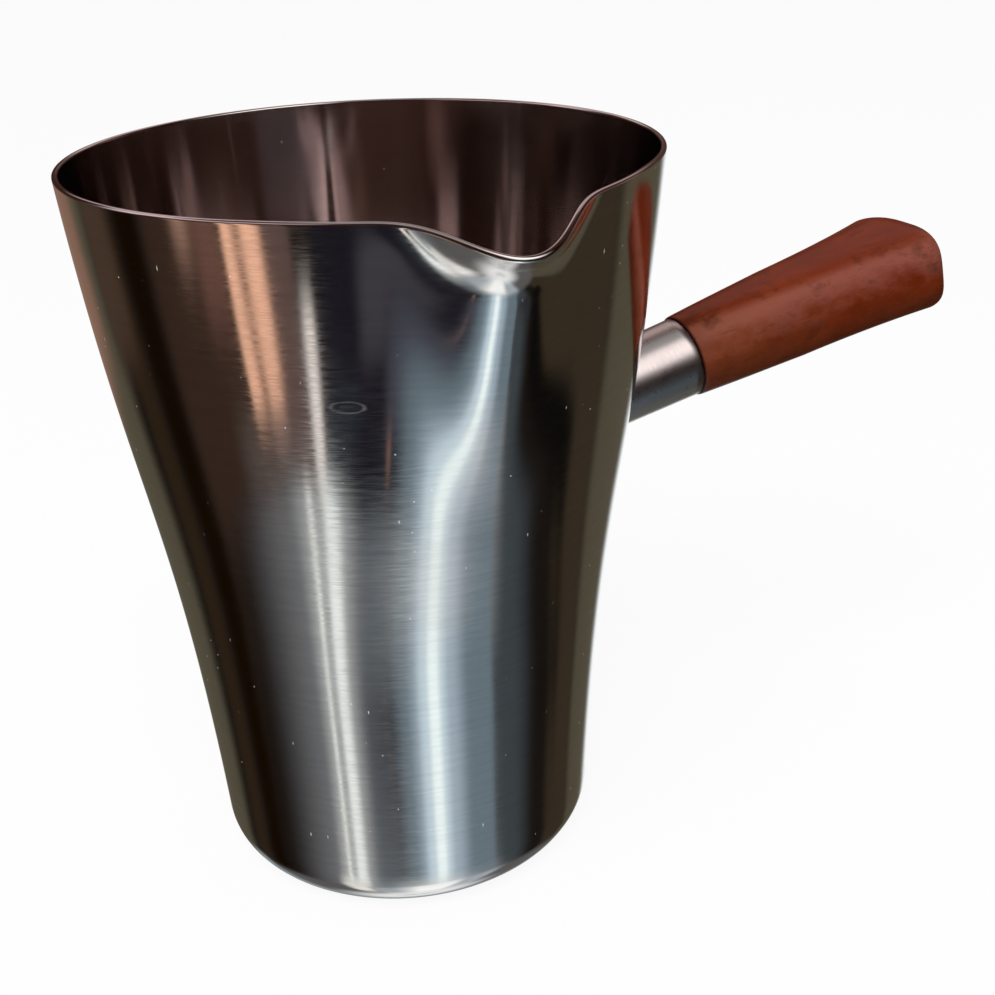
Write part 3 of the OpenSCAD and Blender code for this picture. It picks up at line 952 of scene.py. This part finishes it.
def make_floor():
    """A pale floor: it takes the jug's soft shadow, and the camera sees it lifted to near white."""
    corners = ((-1, -1), (1, -1), (1, 1), (-1, 1))
    points = [(FLOOR_HALF * x, FLOOR_HALF * y, 0) for x, y in corners]
    material = bpy.data.materials.new("floor")
    material.use_nodes = True
    graph = Graph(material.node_tree)
    matt = graph.add("ShaderNodeBsdfDiffuse", {"Color": FLOOR_TONE})
    white = graph.add("ShaderNodeEmission", {"Color": WHITE, "Strength": 1.0})
    share = graph.math("MULTIPLY", seen_by_eye(graph), FLOOR_LIFT)
    mixed = graph.add("ShaderNodeMixShader")
    for socket, given in zip(mixed.inputs, (share, matt.outputs["BSDF"], white.outputs["Emission"])):
        graph.put(socket, given)
    graph.put(graph.add("ShaderNodeOutputMaterial").inputs["Surface"], mixed.outputs["Shader"])
    floor = make_piece("floor", points, [(0, 1, 2, 3)], [material])
    floor.visible_glossy = False


def make_light():
    """A soft white sky and one soft lamp."""
    world = bpy.data.worlds.new("studio")
    bpy.context.scene.world = world
    world.use_nodes = True
    graph = Graph(world.node_tree)
    strength = graph.range(seen_by_eye(graph), 0, 1, SKY_LIGHT, SKY_SEEN)
    sky = graph.add("ShaderNodeBackground", {"Color": WHITE, "Strength": strength})
    graph.put(graph.add("ShaderNodeOutputWorld").inputs["Surface"], sky.outputs["Background"])
    data = bpy.data.lights.new("key", "AREA")
    data.shape = "DISK"
    data.size = KEY_SIZE
    data.energy = KEY_POWER
    key = bpy.data.objects.new("key", data)
    key.location = KEY_PLACE
    key.rotation_euler = (Vector(KEY_AIM) - key.location).to_track_quat("-Z", "Y").to_euler()
    key.visible_glossy = False
    bpy.context.scene.collection.objects.link(key)


def dress(piece, nodes):
    """Let a piece stand for its CAD nodes, on the jug's one body."""
    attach(piece, "root")
    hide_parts(*nodes)


bpy.context.scene.view_settings.view_transform = "Standard"
make_camera()
make_floor()
make_room()
make_light()

cup_outside = brushed_steel(
    "cup_outside", STEEL_TONE, smooth=0.07, rough=0.13, stretch=0.6,
    line_lean=0.0038, line_depth=1e-6, scuff_share=0.45, ring=RING_MARK,
)
cup_inside = brushed_steel(
    "cup_inside", INSIDE_TONE, smooth=0.07, rough=0.1, stretch=0.9,
    line_lean=0.003, line_depth=0.5e-6, scuff_share=0.05,
)
dress(make_cup(cup_outside, cup_inside), ["jug_body"])

# The socket stays in the handle's own frame, so that its grain runs round the handle
socket = make_socket(satin_steel("socket_steel", STEEL_TONE, roughness=0.3))
socket.matrix_world = HANDLE_FRAME
dress(socket, ["handle_socket"])
braze = make_braze(satin_steel("braze_metal", STEEL_TONE, roughness=0.2))
dress(braze, ["socket_braze"])
dress(make_grip(grip_wood()), ["grip"])

# The two pieces inside the handle keep their CAD shapes
for node in ("socket_end_plate", "handle_stud"):
    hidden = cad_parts[node]
    hidden.data.materials.clear()
    hidden.data.materials.append(satin_steel(node + "_steel", HIDDEN_TONE, roughness=0.35))
